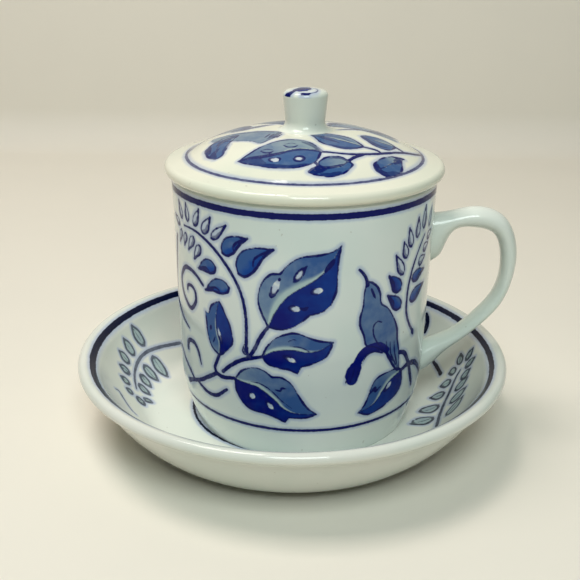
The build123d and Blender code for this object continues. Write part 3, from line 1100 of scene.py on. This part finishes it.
def saucer_fronds(brush):
    """Two fronds in thin outline. Positions are in plan, at distances along the surface from the centre."""
    brush.frond(
        ((-45, 37), (-51, 31.4), (-55.8, 25.3), (-58.4, 19), (-58.9, 12.4), (-58, 6.6), (-55.8, 0.8)),
        1.4, (),
        (((-58.8, 25.4), (-67.2, 28.2), 4.4), ((-61.2, 17.2), (-68.2, 19.2), 4.0),
         ((-62, 11.2), (-67.8, 11.6), 3.6), ((-60.4, 6.2), (-65.4, 5.2), 3.2),
         ((-59, 0.4), (-63.2, -0.4), 2.8), ((-56.6, -3.8), (-59.4, -4.2), 2.4),
         ((-53.8, 23.6), (-46, 17.6), 4.4), ((-56, 16.4), (-49, 13.2), 4.0),
         ((-56, 10.6), (-50.8, 7.6), 3.4), ((-55.4, 4.8), (-50.4, 2.6), 3.0),
         ((-51.8, -1.2), (-48.8, -2.2), 2.2), ((-54.4, -3.4), (-51, -6), 2.6)),
        tone=0.75, fill=0.2, belly=0.46, sides=(0.5, 0.6),
    )
    brush.stroke(
        ((-63.4, -12.6), (-61.6, -11.4), (-58.7, -13.8), (-55.1, -16.8), (-52.8, -17.6)),
        0.9, (0.6, 0.5), 0.8,
    )
    brush.frond(
        ((48.6, -18.4), (50.7, -10.8), (53.3, -4.8), (56, -1), (59, 3.2), (61.4, 5.6), (63.6, 7)),
        1.3, (),
        (((48.2, -10.4), (40.2, -14.2), 4.4), ((51.2, -3.2), (44.2, -5.8), 4.4),
         ((54.6, 1.8), (49.2, 3.6), 3.6), ((58.4, 5.6), (54.2, 7.4), 3.4), ((62, 9.4), (58.8, 10.6), 3.2),
         ((64.2, 10.2), (66, 14.6), 3.0), ((67.2, 9), (72, 10), 2.8), ((53, -14.6), (61, -10.6), 4.2),
         ((55.6, -7.2), (63.4, -6.4), 4.0), ((59, -1.8), (65.4, -1.2), 3.6),
         ((62.6, 1.8), (67.6, 1.8), 3.2), ((66, 5.6), (71.2, 4.6), 2.8)),
        tone=0.85, fill=0.22, belly=0.46, sides=(0.4, 0.55),
    )
    brush.stroke(((54.4, 22), (55.2, 17.4), (55.6, 13.8)), 1.5, ends=(0.8, 1.2))
    brush.stroke(((58, 44), (57.2, 40.6), (54.8, 37.8)), 2.2, ends=(0.7, 0.9))


def make_handle():
    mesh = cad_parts["cup_handle"].data
    mesh.materials.clear()
    mesh.materials.append(porcelain("handle_glaze", handle_white))


def make_stage():
    """Table top that bends up into a wall behind it, both plain and pale."""
    outline = [(stage_front, 0.0), (stage_back - stage_bend, 0.0)]
    for index in range(1, stage_bend_steps + 1):
        angle = math.pi / 2 * index / stage_bend_steps
        outline.append((stage_back - stage_bend * (1 - math.sin(angle)), stage_bend * (1 - math.cos(angle))))
    outline.append((stage_back, stage_top))
    places = [(x, y, z) for y, z in outline for x in (-stage_width / 2, stage_width / 2)]
    faces = [(2 * index, 2 * index + 1, 2 * index + 3, 2 * index + 2) for index in range(len(outline) - 1)]
    mesh = bpy.data.meshes.new("studio_table")
    mesh.from_pydata(places, [], faces)
    mesh.shade_smooth()
    table = bpy.data.objects.new("studio_table", mesh)
    bpy.context.scene.collection.objects.link(table)
    finish = Finish("studio_paper")
    place = finish.add("ShaderNodeTexCoord", {}, {}, "Object")
    colour = finish.mix(finish.noise(place, paper_cloud), paper_pale, paper_dark)
    finish.fill(finish.shader, {"Base Color": colour, "Roughness": 0.65, "Specular IOR Level": 0.2})
    mesh.materials.append(finish.material)


def make_light(name, place, power, colour):
    """Soft square lamp that faces the cup."""
    lamp = bpy.data.lights.new(name, "AREA")
    lamp.size = lamp_size
    lamp.energy = power
    lamp.color = colour
    holder = bpy.data.objects.new(name, lamp)
    holder.location = place
    holder.rotation_euler = (Vector(lamp_aim) - Vector(place)).to_track_quat("-Z", "Y").to_euler()
    bpy.context.scene.collection.objects.link(holder)


def make_lights():
    make_light("overhead_softbox", place=(-0.27, 0.0, 0.85), power=4.2, colour=(1.0, 0.92, 0.86))
    make_light("front_softbox", place=(0.05, -0.58, 0.70), power=4.0, colour=(0.88, 1.0, 0.99))
    world = bpy.data.worlds.new("studio_air")
    world.use_nodes = True
    background = world.node_tree.nodes["Background"]
    background.inputs["Color"].default_value = air_colour
    background.inputs["Strength"].default_value = air_strength
    bpy.context.scene.world = world


def make_camera():
    data = bpy.data.cameras.new("camera")
    data.lens = camera_lens
    data.sensor_width = camera_sensor
    data.clip_start = camera_near
    camera = bpy.data.objects.new("camera", data)
    turn = Matrix.Rotation(-camera_yaw, 4, "Z")
    tilt = Matrix.Rotation(math.pi / 2 - camera_pitch, 4, "X")
    camera.matrix_world = turn @ tilt @ Matrix.Rotation(camera_roll, 4, "Z")
    camera.location = (0, -camera_distance, camera_height)
    bpy.context.scene.collection.objects.link(camera)
    bpy.context.scene.camera = camera


make_cup()
make_handle()
make_lid()
make_knob()
make_saucer()
make_stage()
make_lights()
make_camera()
bpy.context.scene.view_settings.view_transform = "Standard"
